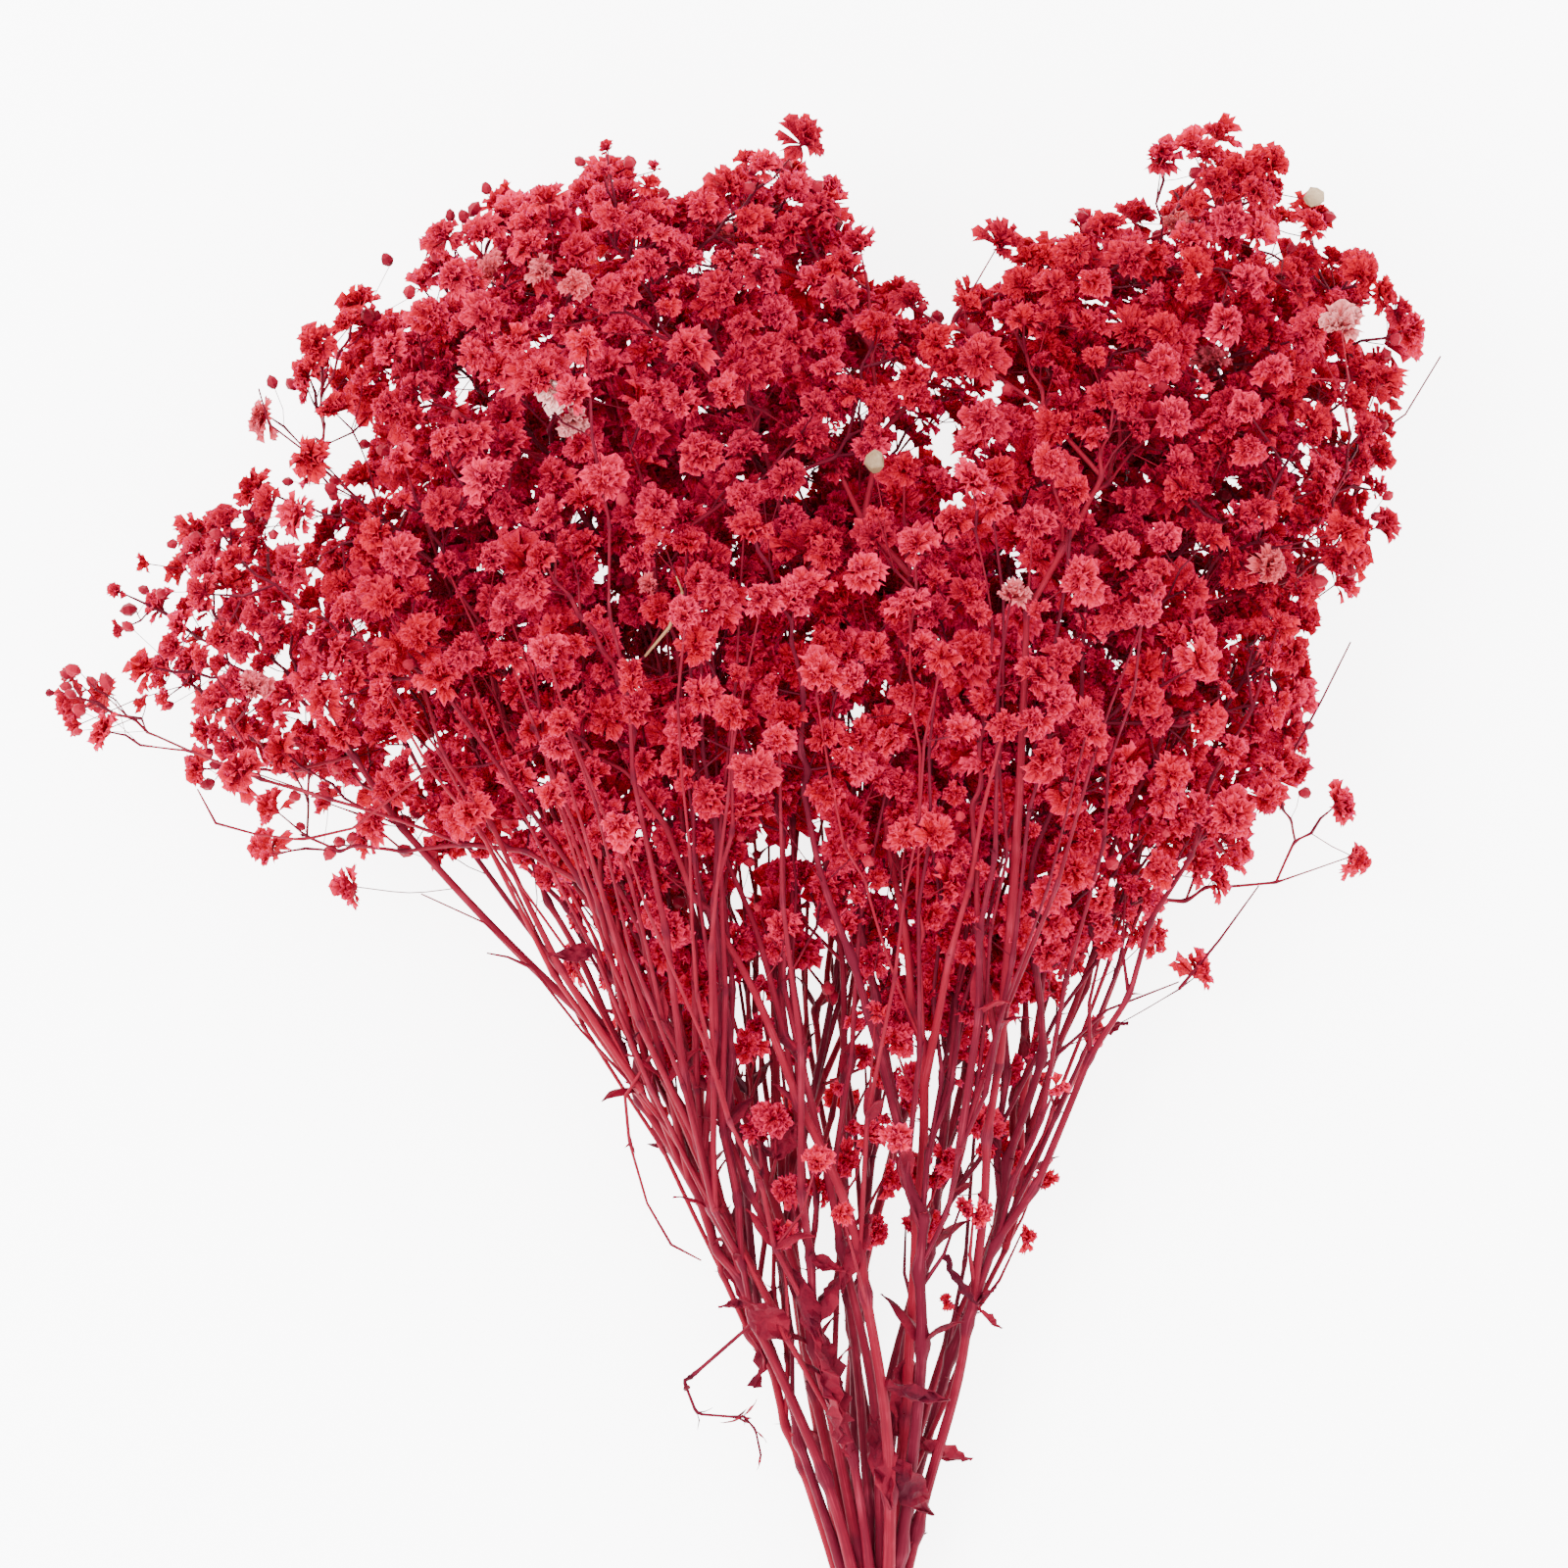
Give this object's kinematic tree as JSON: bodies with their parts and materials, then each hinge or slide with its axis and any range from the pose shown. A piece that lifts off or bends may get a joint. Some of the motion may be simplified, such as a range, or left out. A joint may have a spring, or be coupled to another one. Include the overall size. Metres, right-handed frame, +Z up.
{
  "type": "dried flower bunch",
  "caption": "Bunch of dyed dried gypsophila lying down: thin forking stems fan out from a rubber band to a wide crown of small ruffled blooms.",
  "frame": {"origin": "centre of the bounding box, on the surface that the bunch lies on", "axes": "+Y from the cut ends towards the blooms, +Z up from the surface, +X across the crown"},
  "size_m": [0.3514, 0.4548, 0.115],
  "materials": {
    "dyed_gypsophila": "dry and matt, dyed red",
    "rubber": "matt natural rubber"
  },
  "bodies": {
    "root": {"spray_01": "dyed_gypsophila", "spray_02": "dyed_gypsophila", "spray_03": "dyed_gypsophila", "spray_04": "dyed_gypsophila", "spray_05": "dyed_gypsophila", "spray_06": "dyed_gypsophila", "spray_07": "dyed_gypsophila", "spray_08": "dyed_gypsophila", "spray_09": "dyed_gypsophila", "spray_10": "dyed_gypsophila", "spray_11": "dyed_gypsophila", "spray_12": "dyed_gypsophila", "spray_13": "dyed_gypsophila", "spray_14": "dyed_gypsophila", "spray_15": "dyed_gypsophila", "spray_16": "dyed_gypsophila", "spray_17": "dyed_gypsophila", "spray_18": "dyed_gypsophila", "spray_19": "dyed_gypsophila", "rubber_band": "rubber"}
  },
  "joints": []
}
